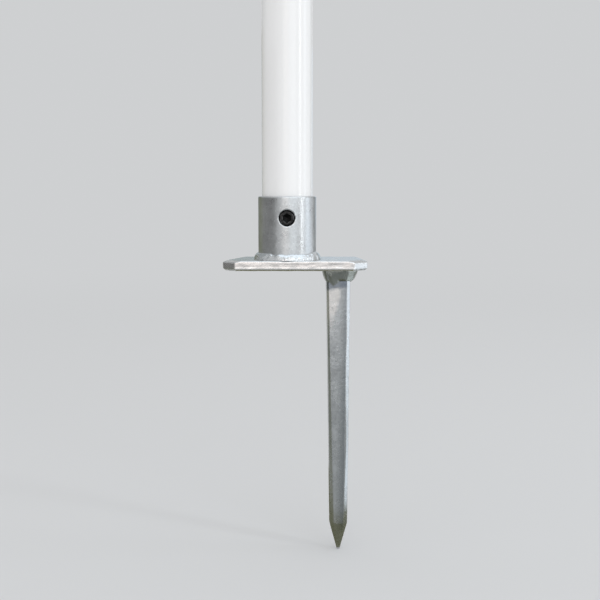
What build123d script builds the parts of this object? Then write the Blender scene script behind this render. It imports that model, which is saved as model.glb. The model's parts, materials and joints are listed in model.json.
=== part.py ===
from build123d import *
from math import cos, radians, sin
import os

# Corner flag: a hollow plastic pole clamped in a galvanised steel foot that has one ground
# spike, with a plain cloth flag sleeved over its top. Millimetres. The origin is on the pole's
# axis at the underside of the foot plate, which lies on the turf. +Z is up, +X runs along the
# plate towards the spike, and the set screw is on the -Y side.

# Pole, a round plastic tube that stands on the plate inside the socket
POLE_DIAMETER = 30.0
POLE_WALL = 2.0
POLE_LENGTH = 1500.0

# Foot plate, a piece of flat bar with its four corners cut off. Shearing has drawn down the top
# edges of its ends. The rear cuts take most of each end, the one by the spike at a slight slant.
PLATE_THICKNESS = 6.0
PLATE_DEPTH = 40.0
PLATE_REACH_SPIKE = 47.3
PLATE_REACH_BACK = 37.6
PLATE_FRONT_CUT_BACK = 7.2
PLATE_FRONT_CUT_SPIKE = 8.2
PLATE_REAR_CUT_BACK = 8.1
PLATE_REAR_CUT_SPIKE = 2.6
PLATE_REAR_CUT_DEPTH = 28.0
PLATE_TOP_CHAMFER = 0.5
PLATE_BOTTOM_CHAMFER = 1.0
PLATE_END_SLOPE = 3.2
PLATE_END_DROP = 1.1

# Socket, a length of steel tube welded upright on the plate
SOCKET_CLEARANCE = 0.25
SOCKET_WALL = 2.0
SOCKET_HEIGHT = 37.1
SOCKET_RIM_CHAMFER = 0.4

# Fillet welds, which bite into the plate as deep as the root. A weld's shoulder is where its
# bulging face bends over.
WELD_ROOT = 0.5
SOCKET_WELD_LEG = 2.6
SOCKET_WELD_HEIGHT = 4.0
SOCKET_WELD_SHOULDER_REACH = 1.4
SOCKET_WELD_SHOULDER_HEIGHT = 3.0
SPIKE_WELD_LEG = 3.5
SPIKE_WELD_HEIGHT = 7.6
SPIKE_WELD_SHIFT = 1.8
SPIKE_WELD_SHOULDER_REACH = 2.1
SPIKE_WELD_SHOULDER_HEIGHT = 5.2
SPIKE_WELD_SHOULDER_SHIFT = 1.4
SPIKE_WELD_TOE = 0.4

# Ground spike, a square bar with cut edges that tapers to a blunt point and leans a little
# outwards on its way down. The left front edge's cut starts narrow and widens downwards.
SPIKE_OFFSET = 30.3
SPIKE_LEAN = 0.8
SPIKE_TOP_WIDTH = 14.2
SPIKE_SHOULDER_WIDTH = 10.6
SPIKE_TIP_WIDTH = 1.8
SPIKE_SHANK_LENGTH = 156.0
SPIKE_POINT_LENGTH = 17.0
SPIKE_EDGE_CUT = 3.0
SPIKE_NARROW_CUT_TOP = 1.0
SPIKE_NARROW_CUT_SHOULDER = 2.2
SPIKE_TURN = 2.0

# Set screw, with a hexagon socket and a cup point
SCREW_DIAMETER = 9.5
SCREW_LENGTH = 10.0
SCREW_HEX = 4.76
SCREW_HEX_DEPTH = 4.0
SCREW_CHAMFER = 0.8
SCREW_CUP_DEPTH = 1.2
SCREW_BELOW_RIM = 12.5
SCREW_RECESS = 1.1
SCREW_THREAD_GAP = 0.05
SCREW_POLE_GAP = 0.3

# Pole cap, a domed plug that also holds the sleeve's turned-in top on the pole's end
CAP_SPIGOT_GAP = 0.1
CAP_SPIGOT_LENGTH = 20.0
CAP_WALL = 1.8
CAP_RIM_HEIGHT = 2.5
CAP_DOME_HEIGHT = 8.0
CAP_DOME_STEPS = 4

# Flag and its sleeve, both modelled thicker than the cloth. The sleeve is a loop that closes in
# a seam beside the pole. From there the flag droops in a light breeze: its top edge stays almost
# straight, and the slack below gathers in a fold towards +Y that opens downwards, with a shallow
# hollow after it. The two lines are the cloth in plan along its top and at its lowest corner, as
# corners measured from the seam. Each corner of the one is joined to the same corner of the other
# by a ridge or a hollow of the folds. The hem turns up to the fold at its own reach and drop.
SLEEVE_GAP = 0.25
SLEEVE_THICKNESS = 0.8
SLEEVE_SEAM_REACH = 25.0
FLAG_HEIGHT = 300.0
FLAG_THICKNESS = 1.6
FLAG_REACH_TOP = 358.0
FLAG_REACH_FOOT = 270.0
FLAG_DROP_TOP = 111.0
FLAG_DROP_FOOT = 97.0
FLAG_FOLD_REACH = 67.0
FLAG_HEM_REACH = 97.0
FLAG_HEM_DROP = 36.0
FLAG_TOP_LINE = [(0, 0), (13, 1), (15, 6), (20, 6), (24, -9), (70, 9), (145, 13), (425, -6)]
FLAG_FOOT_LINE = [(0, 0), (34, 24), (50, 78), (80, 84), (105, 4), (175, -30), (275, 0), (425, 24)]

pole_radius = POLE_DIAMETER / 2
pole_bore_radius = pole_radius - POLE_WALL
pole_top = PLATE_THICKNESS + POLE_LENGTH
socket_bore_radius = pole_radius + SOCKET_CLEARANCE
socket_radius = socket_bore_radius + SOCKET_WALL
socket_top = PLATE_THICKNESS + SOCKET_HEIGHT
spike_length = SPIKE_SHANK_LENGTH + SPIKE_POINT_LENGTH
screw_height = socket_top - SCREW_BELOW_RIM
sleeve_bore_radius = pole_radius + SLEEVE_GAP
sleeve_radius = sleeve_bore_radius + SLEEVE_THICKNESS
sleeve_top = pole_top + SLEEVE_THICKNESS
spigot_radius = pole_bore_radius - CAP_SPIGOT_GAP


def tube(outer, inner, height):
    """An upright tube that stands on Z = 0."""
    return extrude(Circle(outer) - Circle(inner), height)


def ring_from(points):
    """The solid that a closed outline of (radius, height) points sweeps round the pole's axis."""
    return revolve(make_face(Plane.XZ * Polyline(*points, close=True)), Axis.Z)


def front_bore(radius):
    """A round cutter at the set screw's height, from the pole's axis out through the -Y side."""
    return Pos(0, 0, screw_height) * Rot(90, 0, 0) * extrude(Circle(radius), 2 * socket_radius)


def spike_section(width, drop, grow=0.0, shift=0.0):
    """The spike's outline, this far below the plate, this much larger a side and shifted."""
    half = width / 2 + grow
    wide = min(SPIKE_EDGE_CUT + grow / 2, half / 2)
    share = min(drop / SPIKE_SHANK_LENGTH, 1)
    widening = SPIKE_NARROW_CUT_SHOULDER - SPIKE_NARROW_CUT_TOP
    narrow = min(SPIKE_NARROW_CUT_TOP + share * widening + grow / 2, half / 2)
    corners = [
        (narrow - half, -half),
        (half - wide, -half),
        (half, wide - half),
        (half, half - wide),
        (half - wide, half),
        (wide - half, half),
        (-half, half - wide),
        (-half, narrow - half),
    ]
    place = SPIKE_OFFSET + SPIKE_LEAN * drop / spike_length + shift
    return Pos(place, 0, -drop) * Rot(0, 0, SPIKE_TURN) * make_face(Polyline(*corners, close=True))


def spike_width(drop):
    """The shank's width at this depth below the plate."""
    taper = (SPIKE_TOP_WIDTH - SPIKE_SHOULDER_WIDTH) / SPIKE_SHANK_LENGTH
    return SPIKE_TOP_WIDTH - taper * drop


def ground_spike():
    top = spike_section(SPIKE_TOP_WIDTH, 0)
    shoulder = spike_section(SPIKE_SHOULDER_WIDTH, SPIKE_SHANK_LENGTH)
    tip = spike_section(SPIKE_TIP_WIDTH, spike_length)
    return loft([top, shoulder], ruled=True) + loft([shoulder, tip], ruled=True)


def spike_weld_toe():
    """The weld's outline on the plate, which lies a little further out than the spike."""
    return spike_section(SPIKE_TOP_WIDTH, 0, SPIKE_WELD_LEG, SPIKE_WELD_SHIFT)


def spike_weld_root():
    """The ring of weld metal inside the plate, round the spike's top face."""
    return extrude(spike_weld_toe() - spike_section(SPIKE_TOP_WIDTH, 0), WELD_ROOT)


def spike_weld():
    shoulder = spike_section(
        spike_width(SPIKE_WELD_SHOULDER_HEIGHT),
        SPIKE_WELD_SHOULDER_HEIGHT,
        SPIKE_WELD_SHOULDER_REACH,
        SPIKE_WELD_SHOULDER_SHIFT,
    )
    low = spike_section(spike_width(SPIKE_WELD_HEIGHT), SPIKE_WELD_HEIGHT, SPIKE_WELD_TOE)
    bead = loft([spike_weld_toe(), shoulder], ruled=True) + loft([shoulder, low], ruled=True)
    return bead - ground_spike() + spike_weld_root()


def socket_weld_root():
    """The ring of weld metal inside the plate, round the socket's foot."""
    ring = tube(socket_radius + SOCKET_WELD_LEG, socket_radius, WELD_ROOT)
    return Pos(0, 0, PLATE_THICKNESS - WELD_ROOT) * ring


def socket_weld():
    bead = ring_from(
        [
            (socket_radius, PLATE_THICKNESS),
            (socket_radius + SOCKET_WELD_LEG, PLATE_THICKNESS),
            (
                socket_radius + SOCKET_WELD_SHOULDER_REACH,
                PLATE_THICKNESS + SOCKET_WELD_SHOULDER_HEIGHT,
            ),
            (socket_radius, PLATE_THICKNESS + SOCKET_WELD_HEIGHT),
        ]
    )
    return bead + socket_weld_root()


def foot_plate():
    back = -PLATE_REACH_BACK
    end = PLATE_REACH_SPIKE
    half = PLATE_DEPTH / 2
    corners = [
        (back + PLATE_FRONT_CUT_BACK, -half),
        (end - PLATE_FRONT_CUT_SPIKE, -half),
        (end, PLATE_FRONT_CUT_SPIKE - half),
        (end, half - PLATE_REAR_CUT_DEPTH),
        (end - PLATE_REAR_CUT_SPIKE, half),
        (back + PLATE_REAR_CUT_BACK, half),
        (back, half - PLATE_REAR_CUT_DEPTH),
        (back, PLATE_FRONT_CUT_BACK - half),
    ]
    bar = extrude(make_face(Polyline(*corners, close=True)), PLATE_THICKNESS)
    top = bar.faces().sort_by(Axis.Z)[-1]
    end_edges = top.edges().filter_by(Axis.X, reverse=True)
    sheared = chamfer(end_edges, PLATE_END_SLOPE, PLATE_END_DROP, reference=top)
    eased = chamfer(top.edges(), PLATE_TOP_CHAMFER)
    eased = chamfer(eased.faces().sort_by(Axis.Z)[0].edges(), PLATE_BOTTOM_CHAMFER)
    return (sheared & eased) - socket_weld_root() - spike_weld_root()


def pole_socket():
    body = tube(socket_radius, socket_bore_radius, SOCKET_HEIGHT)
    body = chamfer(body.faces().sort_by(Axis.Z)[-1].edges(), SOCKET_RIM_CHAMFER)
    return Pos(0, 0, PLATE_THICKNESS) * body - front_bore(SCREW_DIAMETER / 2)


def set_screw():
    radius = SCREW_DIAMETER / 2 - SCREW_THREAD_GAP
    body = extrude(Circle(radius), SCREW_LENGTH)
    body = chamfer(body.edges(), SCREW_CHAMFER)
    key_way = extrude(RegularPolygon(SCREW_HEX / 2, 6, major_radius=False), SCREW_HEX_DEPTH)
    body -= Pos(0, 0, SCREW_LENGTH - SCREW_HEX_DEPTH) * key_way
    cup_radius = radius - 2 * SCREW_CHAMFER
    body -= Pos(0, 0, SCREW_CUP_DEPTH / 2) * Cone(cup_radius, cup_radius / 4, SCREW_CUP_DEPTH)
    head_distance = socket_radius - SCREW_RECESS
    return Pos(0, SCREW_LENGTH - head_distance, screw_height) * Rot(90, 0, 0) * body


def pole():
    body = Pos(0, 0, PLATE_THICKNESS) * tube(pole_radius, pole_bore_radius, POLE_LENGTH)
    return body - front_bore(SCREW_DIAMETER / 2 + SCREW_POLE_GAP)


def pole_cap():
    hollow_radius = spigot_radius - CAP_WALL
    outline = [
        (0, CAP_RIM_HEIGHT),
        (hollow_radius, CAP_RIM_HEIGHT),
        (hollow_radius, -CAP_SPIGOT_LENGTH),
        (spigot_radius, -CAP_SPIGOT_LENGTH),
        (spigot_radius, 0),
        (sleeve_radius, 0),
    ]
    for step in range(CAP_DOME_STEPS + 1):
        angle = radians(90 * step / CAP_DOME_STEPS)
        height = CAP_RIM_HEIGHT + CAP_DOME_HEIGHT * sin(angle)
        outline.append((sleeve_radius * cos(angle) if step < CAP_DOME_STEPS else 0, height))
    return Pos(0, 0, sleeve_top) * ring_from(outline)


def sleeve_loop(radius, seam_radius):
    """The outline round the pole and, in straight runs, to the seam beside it."""
    seam = Pos(SLEEVE_SEAM_REACH, 0) * Circle(seam_radius)
    return make_hull(Circle(radius).edges() + seam.edges())


def beyond(reach):
    """A large rectangle whose left side lies this far from the pole's axis."""
    side = 2 * SLEEVE_SEAM_REACH
    return Pos(reach, 0) * Rectangle(side, side, align=(Align.MIN, Align.CENTER))


def flag_sleeve():
    outer = sleeve_loop(sleeve_radius, SLEEVE_THICKNESS) - beyond(SLEEVE_SEAM_REACH)
    inner = sleeve_loop(sleeve_bore_radius, SLEEVE_THICKNESS / 4)
    inner -= beyond(SLEEVE_SEAM_REACH - FLAG_THICKNESS)
    wall = Pos(0, 0, sleeve_top - FLAG_HEIGHT) * extrude(outer - inner, FLAG_HEIGHT)
    turned_in = tube(sleeve_bore_radius, spigot_radius + SLEEVE_GAP, SLEEVE_THICKNESS)
    return wall + Pos(0, 0, pole_top) * turned_in


def beside(corners, side):
    """A line of corners moved this far to its left, with mitred bends."""
    points = [Vector(x, y) for x, y in corners]
    normals = [(b - a).normalized().rotate(Axis.Z, 90) for a, b in zip(points, points[1:])]
    pairs = zip([normals[0], *normals], [*normals, normals[-1]])
    return [p + (m + n) * (side / (1 + m.dot(n))) for p, (m, n) in zip(points, pairs)]


def cloth_strip(corners):
    """The cloth's plan along a line of corners, from just inside the seam and as thick as the flag."""
    line = [(-FLAG_THICKNESS, 0), *corners]
    left = beside(line, FLAG_THICKNESS / 2)
    right = beside(line, -FLAG_THICKNESS / 2)
    return Pos(SLEEVE_SEAM_REACH, 0) * make_face(Polyline(*left, *reversed(right), close=True))


def flag():
    lowest = FLAG_HEIGHT + FLAG_DROP_FOOT + FLAG_THICKNESS
    foot = Pos(0, 0, -lowest) * cloth_strip(FLAG_FOOT_LINE)
    hanging = Pos(0, 0, sleeve_top) * loft([foot, cloth_strip(FLAG_TOP_LINE)], ruled=True)
    hoist = SLEEVE_SEAM_REACH
    low = sleeve_top - FLAG_HEIGHT
    outline = [
        (hoist, sleeve_top),
        (hoist + FLAG_REACH_TOP, sleeve_top - FLAG_DROP_TOP),
        (hoist + FLAG_REACH_FOOT, low - FLAG_DROP_FOOT),
        (hoist + FLAG_HEM_REACH, low - FLAG_HEM_DROP),
        (hoist + FLAG_FOLD_REACH, low),
        (hoist, low),
    ]
    side_view = extrude(make_face(Plane.XZ * Polyline(*outline, close=True)), FLAG_HEIGHT, both=True)
    return hanging & side_view


def main():
    os.makedirs("parts", exist_ok=True)
    makers = [
        foot_plate,
        pole_socket,
        socket_weld,
        ground_spike,
        spike_weld,
        set_screw,
        pole,
        pole_cap,
        flag_sleeve,
        flag,
    ]
    for make in makers:
        export_step(make(), f"parts/{make.__name__}.step")


main()
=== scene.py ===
import json
import math
from contextlib import contextmanager

import bmesh
import bpy
from mathutils import Matrix, Vector, noise

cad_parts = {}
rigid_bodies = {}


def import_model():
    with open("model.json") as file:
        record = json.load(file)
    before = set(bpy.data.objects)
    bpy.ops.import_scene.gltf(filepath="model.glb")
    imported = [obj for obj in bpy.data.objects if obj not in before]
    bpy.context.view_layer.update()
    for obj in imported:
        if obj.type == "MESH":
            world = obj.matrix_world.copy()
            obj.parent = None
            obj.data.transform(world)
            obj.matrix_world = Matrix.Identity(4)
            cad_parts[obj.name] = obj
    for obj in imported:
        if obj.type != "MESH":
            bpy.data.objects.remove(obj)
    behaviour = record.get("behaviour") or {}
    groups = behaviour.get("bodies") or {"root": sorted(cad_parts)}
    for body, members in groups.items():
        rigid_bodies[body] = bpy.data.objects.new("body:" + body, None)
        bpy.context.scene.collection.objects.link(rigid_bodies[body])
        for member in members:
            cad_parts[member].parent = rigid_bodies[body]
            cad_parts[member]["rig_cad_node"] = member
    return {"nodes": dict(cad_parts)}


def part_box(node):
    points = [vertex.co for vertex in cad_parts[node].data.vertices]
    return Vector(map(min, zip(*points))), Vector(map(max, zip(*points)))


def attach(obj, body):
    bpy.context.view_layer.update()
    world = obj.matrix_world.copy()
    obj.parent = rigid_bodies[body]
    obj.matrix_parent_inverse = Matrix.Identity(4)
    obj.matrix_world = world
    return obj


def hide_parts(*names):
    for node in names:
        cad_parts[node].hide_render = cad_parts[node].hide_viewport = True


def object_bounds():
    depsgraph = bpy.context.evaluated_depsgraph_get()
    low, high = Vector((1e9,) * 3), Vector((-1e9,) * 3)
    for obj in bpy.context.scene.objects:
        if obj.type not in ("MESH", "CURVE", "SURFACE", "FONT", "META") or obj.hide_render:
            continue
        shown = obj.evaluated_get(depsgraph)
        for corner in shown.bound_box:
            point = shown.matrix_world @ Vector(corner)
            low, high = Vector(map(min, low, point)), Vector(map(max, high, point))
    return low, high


# Corner flag: the looks of the galvanised foot, the glossy pole, its cap and the cloth flag.
# Metres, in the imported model's frame: +Z up the pole, +X towards the spike, -Y to the camera.

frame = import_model()
cad_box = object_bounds()
MM = 0.001

# The photograph's camera: where it is, and how many degrees it looks down as it looks along +Y
PHOTO_SIZE = 600
SENSOR_WIDTH = 36.0
FOCAL_PIXELS = 1000.0
CAMERA_PLACE = (0.0076, -0.5975, 0.0454)
CAMERA_PITCH = 6.14

# Studio: the floor keeps its own colour up to FLOOR_NEAR from the pole, and is the background's
# from FLOOR_FAR on
BACKGROUND = (0.62, 0.63, 0.64)
FLOOR_ALBEDO = (0.68, 0.69, 0.70)
FLOOR_SIZE = 60.0
FLOOR_NEAR = 0.5
FLOOR_FAR = 2.4
AMBIENT = 0.84

# Lamps: name, turn to the right of the photograph's camera, distance, height, width, length,
# radiance and tint
LAMPS = [
    ("key_strip", 61, 2.4, 0.8, 0.26, 2.6, 4.6, (0.93, 0.97, 1.0)),
    ("right_box", 88, 2.4, 0.8, 0.6, 2.6, 1.3, (0.82, 0.91, 1.0)),
    ("warm_strip", -15, 2.8, 0.8, 0.14, 2.0, 1.4, (1.0, 0.95, 0.92)),
    ("warm_box", -4, 3.2, 1.1, 0.9, 2.4, 1.2, (1.0, 0.925, 0.885)),
    ("cool_box", 24, 3.2, 1.1, 1.9, 2.4, 1.12, (0.88, 0.95, 1.0)),
]

# Cards round the foot that only reflections show: name, centre, the point faced, width, height
# and how bright each colour is. Metal mirrors them, and nothing else sees or is lit by them.
CARDS = [
    ("left_card", (-0.69, -0.145, 0.03), (0.266, 0.149, 0.03), 0.952, 0.40, (0.15, 0.15, 0.15)),
    ("back_left_card", (-0.55, 0.58, 0.05), (0, 0, 0.05), 0.72, 0.44, (0.17, 0.18, 0.12)),
    ("back_right_card", (0.52, 0.61, 0.20), (0, 0, 0.20), 0.40, 0.74, (0.22, 0.23, 0.22)),
    ("right_low_card", (0.47, 0.05, -0.086), (0, 0.05, -0.086), 0.34, 0.17, (1.20, 1.32, 1.44)),
    ("high_left_card", (-0.40, 0.30, 0.42), (0, 0, 0), 0.55, 0.45, (0.32, 0.345, 0.36)),
    ("left_low_card", (-0.090, -0.02, -0.091), (0, -0.02, -0.091), 0.16, 0.16, (0.16, 0.175, 0.14)),
    ("near_card", (0.02, 0.06, -0.172), (0.02, 0.06, 0), 0.20, 0.24, (0.088, 0.092, 0.026)),
    ("right_floor_card", (0.20, 0.015, -0.172), (0.20, 0.015, 0), 0.16, 0.21, (1.00, 1.10, 1.20)),
    ("right_far_card", (0.37, 0.015, -0.172), (0.37, 0.015, 0), 0.18, 0.21, (0.60, 0.66, 0.70)),
    ("right_back_card", (0.29, 0.18, -0.172), (0.29, 0.18, 0), 0.34, 0.12, (0.088, 0.092, 0.06)),
    ("sky_card", (0.7, -0.9, 2.6), (0.7, -0.9, 0), 3.6, 4.0, (1.25, 1.38, 1.5)),
    ("back_card", (0.14, 0.45, 0.10), (0.14, 0, 0.10), 0.34, 0.19, (0.62, 0.72, 0.80)),
    ("left_back_card", (-0.12, 0.45, 0.10), (-0.12, 0, 0.10), 0.18, 0.19, (0.36, 0.43, 0.44)),
    ("middle_card", (0.03, -0.49, -0.172), (0.03, -0.49, 0), 0.50, 0.86, (0.26, 0.28, 0.29)),
]

# Fine skins of the steel pieces, how far the plate's ends are rounded over, and the shallow
# groove along its front
SKIN_VOXEL = 0.36 * MM
SKIN_JOIN = 0.5e-6
BAR_MIDDLE = 3.5 * MM
BAR_ROUNDING = 30.0
GROOVE_DEPTH = 0.013 * MM
GROOVE_CREST = 1.3 * MM
GROOVE_PITCH = 3.6 * MM

# Zinc: how light and how rough its dark and pale parts are, and the colours of what lies on them
ZINC_LEVELS = (0.585, 0.69)
ZINC_ROUGHNESS = (0.22, 0.31)
GRAIN_TONE = (0.43, 0.44, 0.44)
PIT_TONE = (0.33, 0.34, 0.33)
FLECK_TONE = (0.92, 0.93, 0.94)
STREAK_TONE = (0.44, 0.44, 0.43)

# Painted light on the plate's front: warmer light over its face, and a painted highlight along its
# foot. The pairs say between which Y its face ends, between which Z its upper rim begins, and between
# which Z the painted highlight along its foot ends
BAR_FRONT = (-19.6 * MM, -19.0 * MM)
BAR_RIM = (4.6 * MM, 5.3 * MM)
BAR_LOW = (2.3 * MM, 3.1 * MM)
BAR_WARM_LIGHT_SHARE = 0.5
BAR_WARM_LIGHT_TONE = (0.80, 0.75, 0.72)
BAR_HIGHLIGHT_TONE = (0.98, 0.955, 0.935)

# Painted light and shade on the spike, and a darker band along its edge. The darker band lies along
# the right front edge, whose X is given at the shoulder and at the plate. A pale patch of painted
# light lies left of a border that runs between two depths. A band of painted shade lies below the
# weld, and falls to the right. The other pairs say over what distance each of them fades.
SPIKE_FRONT = (-5.0 * MM, -3.5 * MM)
EDGE_X = (33.2 * MM, 34.8 * MM)
EDGE_DARK_LEFT = (-2.0 * MM, 2.0 * MM)
EDGE_DARK_RIGHT = (0.5 * MM, 1.0 * MM)
EDGE_DARK_SHARE = 0.6
EDGE_DARK_TONE = (0.25, 0.275, 0.29)
BORDER_Z = (-36 * MM, -12 * MM)
BORDER_X = (29.1 * MM, 33.2 * MM)
LIT_PATCH_RIGHT = (-0.9 * MM, 0.9 * MM)
LIT_PATCH_FOOT = (-38 * MM, -26 * MM)
LIT_PATCH_SHARE = 0.9
LIT_PATCH_TONE = (0.84, 0.81, 0.785)
WELD_SHADE_SLOPE = -0.2
WELD_SHADE_FOOT = (-11.2 * MM, -9.2 * MM)
WELD_SHADE_SHARE = 0.85
WELD_SHADE_TONE = (0.19, 0.22, 0.26)

# Weld beads, as the photograph shows their front: an angle in degrees from the front towards the
# spike's side, the leg and the height in millimetres there, and how soon the bead's face falls
# away from the post that it runs round and rises from the plate
BEAD_TURNS = 420
BEAD_STEPS = 26
BEAD_ROOT = 0.35 * MM
BEAD_STEP = 0.22 * MM
BEAD_JOIN = 1e-7
RIPPLE_DEPTH = 0.035 * MM
RIPPLE_PITCH = 0.21 * MM
SOCKET_BEAD = [
    (-180, 2.3, 3.3, 1.2, 1.4),
    (-150, 2.7, 3.7, 1.1, 1.4),
    (-118, 2.8, 3.5, 1.4, 1.6),
    (-90, 2.7, 3.8, 1.3, 1.4),
    (-60, 2.8, 3.9, 1.6, 1.7),
    (-38, 2.8, 3.9, 1.7, 1.8),
    (-27, 2.8, 3.4, 1.4, 1.6),
    (-16, 2.5, 3.8, 1.0, 1.2),
    (-4, 2.4, 3.4, 1.1, 1.3),
    (9, 2.4, 3.8, 1.0, 1.2),
    (23, 2.7, 3.4, 1.2, 1.5),
    (45, 2.8, 3.7, 1.3, 1.8),
    (57, 2.8, 4.2, 1.2, 1.5),
    (67, 3.0, 4.8, 1.0, 1.2),
    (80, 3.0, 4.2, 1.1, 1.4),
    (100, 2.8, 3.6, 1.2, 1.5),
    (130, 2.9, 3.8, 1.1, 1.4),
    (155, 2.6, 3.4, 1.1, 1.3),
]
SPIKE_BEAD = [
    (-180, 3.2, 6.6, 1.2, 1.4),
    (-135, 2.8, 7.2, 1.2, 1.5),
    (-90, 1.6, 7.4, 1.4, 1.2),
    (-55, 2.2, 7.0, 1.3, 1.5),
    (-42, 2.5, 7.1, 1.4, 1.4),
    (-20, 3.0, 9.7, 3.0, 0.8),
    (-8, 3.0, 8.5, 2.2, 1.0),
    (5, 3.2, 7.0, 1.4, 1.3),
    (30, 3.6, 6.9, 1.2, 1.4),
    (60, 4.0, 7.4, 1.25, 1.35),
    (90, 4.9, 7.9, 1.25, 1.3),
    (120, 4.2, 7.4, 1.2, 1.3),
]

# Spike: the middle and half the width of its square at the plate, what its edges are cut by, its
# turn in degrees, how far each side comes in down to the shoulder, how far the point leans out,
# and how much narrower than the solid's the right front cut is. The surface is drawn out for
# that up to DRAWN_REACH behind the cut, less and less over DRAWN_END above the shoulder.
SPIKE_CENTRE = 30.3 * MM
SPIKE_HALF = 7.1 * MM
SPIKE_CUT = 3.0 * MM
SPIKE_NARROW_CUT = 1.0 * MM
SPIKE_TURN = 2.0
SPIKE_SHOULDER = 156 * MM
SPIKE_LENGTH = 173 * MM
SPIKE_TAPER = 1.8 * MM
SPIKE_LEAN = 0.8 * MM
SPIKE_NARROWING = 0.95 * MM
DRAWN_REACH = 4 * MM
DRAWN_END = 8 * MM

# Set screw: a fine thread, and a hexagon socket with a chamfered mouth. The wear is a ring round
# the mouth, between its inner and its outer fade, and another on the face's outer rim.
SCREW_HEX = 4.76 * MM
SCREW_HEX_DEPTH = 4.0 * MM
SCREW_MOUTH = 2.95 * MM
SCREW_PITCH = 1.5875 * MM
SCREW_THREAD = 0.75 * MM
SCREW_CHAMFER = 0.8 * MM
SCREW_SIDES = 96
SCREW_RINGS = 72
SCREW_TONES = ((0.012, 0.012, 0.014), (0.035, 0.034, 0.033))
MOUTH_INNER = (2.35 * MM, 2.6 * MM)
MOUTH_OUTER = (2.85 * MM, 3.1 * MM)
MOUTH_TONE = (0.11, 0.108, 0.105)
RIM_INNER = (3.7 * MM, 3.9 * MM)
RIM_TONE = (0.13, 0.13, 0.13)
# Painted shade deep inside the hexagon socket
SOCKET_SHADE_TONE = (0.003, 0.003, 0.003)

# The least radius of a ring of points that closes a turned piece
PINHOLE = 0.02 * MM

# Cap: its dome over its rim, the band below, and the spigot that stands in the pole
CAP_DOME = 8.0 * MM
CAP_BAND = 2.5 * MM
CAP_SPIGOT = 8 * MM
CAP_SPIGOT_RADIUS = 12.5 * MM
CAP_STEPS = 26
CAP_SIDES = 128

# Flag: the cut of its panel, how far in from its edges it is hemmed, puckers, gathers and is
# held, its waves before the wind starts, the wind, its stitches, and the sleeve's loop round the
# pole
THREADS = 450.0
SEAM_REACH = 25.0 * MM
PANEL_WIDTH = 372.0 * MM
PANEL_HEIGHT = 300.0 * MM
PANEL_STEP = 7.5 * MM
PANEL_FINE = 3
CLOTH = 0.55 * MM
HEM = 11.0 * MM
HEM_FADE = 2.6 * MM
HEM_EXTRA = 0.45 * MM
PUCKER_REACH = 34 * MM
GATHER_REACH = 60 * MM
HELD_REACH = 6 * MM
START_SWING = 14 * MM
START_WAVES = 1.6
START_LENGTH = 0.985
WIND = 200.0
WIND_TURN = 6.0
SETTLE_FRAMES = 50
STITCH = 3.0 * MM
STITCH_GAP = 0.9 * MM
STITCH_RADIUS = 0.24 * MM
STITCH_SINK = 0.1 * MM
STITCH_RISE = 0.08 * MM
STITCH_INSET = 1.6 * MM
STITCH_SIDES = 6
STITCH_PROFILE = ((0, 0.35), (0.25, 0.85), (0.5, 1.0), (0.75, 0.85), (1, 0.35))
SLEEVE_RADIUS = 15.55 * MM
SLEEVE_SEAM = 0.35 * MM
SLEEVE_RUN = 7
SLEEVE_TURNS = 60
SLEEVE_LEVELS = 110
SLEEVE_ENDS = 14 * MM


# Small helpers


def link(name, data):
    piece = bpy.data.objects.new(name, data)
    bpy.context.scene.collection.objects.link(piece)
    return piece


def clamp(value):
    return min(1.0, max(0.0, value))


@contextmanager
def edited(mesh):
    """Opens a mesh for bmesh work and puts the result back."""
    shape = bmesh.new()
    shape.from_mesh(mesh)
    yield shape
    shape.to_mesh(mesh)
    shape.free()


def apply_modifiers(piece):
    """Bakes a piece's modifiers into its mesh."""
    graph = bpy.context.evaluated_depsgraph_get()
    mesh = bpy.data.meshes.new_from_object(piece.evaluated_get(graph))
    piece.modifiers.clear()
    piece.data = mesh


def shade_smooth(piece):
    piece.data.polygons.foreach_set("use_smooth", [True] * len(piece.data.polygons))
    piece.data.update()


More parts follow.
